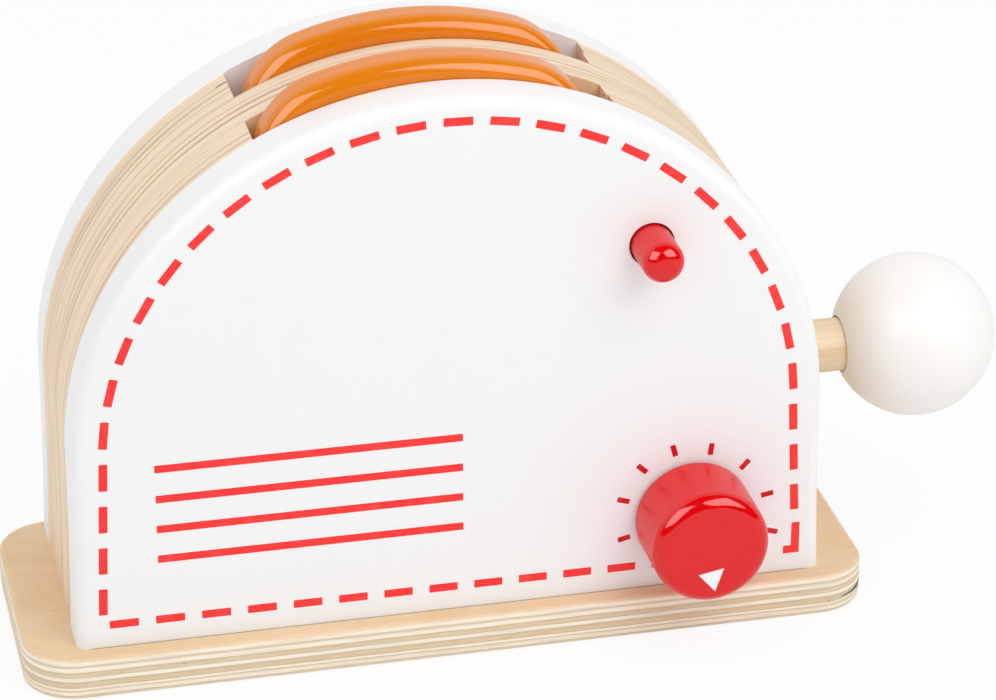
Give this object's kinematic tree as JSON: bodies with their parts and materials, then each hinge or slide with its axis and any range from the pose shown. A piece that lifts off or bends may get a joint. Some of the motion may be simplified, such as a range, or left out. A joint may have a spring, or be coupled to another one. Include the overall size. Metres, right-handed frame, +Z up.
{
  "type": "toy toaster",
  "caption": "Wooden toy toaster: round-topped white body on a plywood base, slices of toast raised by a ball lever, turning dial and push button.",
  "frame": {"origin": "on the underside of the base, below the middle of the core's depth", "axes": "+X towards the lever side, +Y towards the back, +Z up"},
  "size_m": [0.2466, 0.0865, 0.1463],
  "materials": {
    "birch_plywood": "bare sanded birch plywood",
    "white_paint": "satin white paint on wood",
    "toast_paint": "glossy orange paint on wood",
    "red_lacquer": "glossy red lacquer on wood",
    "dowel_wood": "sanded beech",
    "steel": "zinc-plated steel",
    "felt": "wool felt"
  },
  "bodies": {
    "root": {"base_plate": "birch_plywood", "front_panel": "white_paint", "back_panel": "white_paint", "divider": "birch_plywood", "front_inner_sheet": "birch_plywood", "front_outer_sheet": "birch_plywood", "rear_inner_sheet": "birch_plywood", "rear_outer_sheet": "birch_plywood", "lever_pin": "steel", "lever_spacers": "dowel_wood", "lever_rest_pad": "felt", "dial_felt": "felt", "dial_washer": "steel", "button_spring": "steel", "assembly_dowels": "dowel_wood", "base_screws": "steel"},
    "lever": {"lever_dowel": "dowel_wood", "lever_ball": "white_paint"},
    "lift": {"lift_block": "dowel_wood", "lift_rod_left": "dowel_wood", "lift_rod_right": "dowel_wood"},
    "toast_front": {"toast_front": "toast_paint"},
    "toast_rear": {"toast_rear": "toast_paint"},
    "dial": {"dial_knob": "red_lacquer", "dial_screw": "steel"},
    "button": {"push_button": "red_lacquer", "button_collar": "dowel_wood"}
  },
  "joints": [
    {"name": "lever_swing", "type": "hinge", "parent": "root", "child": "lever", "pos_m": [0.068, -0.0015, 0.0546], "axis": [0, 1, 0], "range_deg": [0, 20]},
    {"name": "lift_rise", "type": "slide", "parent": "root", "child": "lift", "axis": [0, 0, 1], "range_m": [0, 0.0256]},
    {"name": "toast_front_lift", "type": "slide", "parent": "lift", "child": "toast_front", "axis": [0, 0, 1], "range_m": [0, 0.07]},
    {"name": "toast_rear_lift", "type": "slide", "parent": "lift", "child": "toast_rear", "axis": [0, 0, 1], "range_m": [0, 0.07]},
    {"name": "dial_turn", "type": "hinge", "parent": "root", "child": "dial", "pos_m": [0.0582, -0.033, 0.0291], "axis": [0, -1, 0], "continuous": true},
    {"name": "button_press", "type": "slide", "parent": "root", "child": "button", "axis": [0, 1, 0], "range_m": [0, 0.0032], "stiffness_N_per_m": 300, "springref_m": -0.001, "deforming": ["button_spring"]}
  ],
  "couplings": [
    {"joint": "lift_rise", "follows": "lever_swing", "m_per_rad": 0.0732}
  ]
}
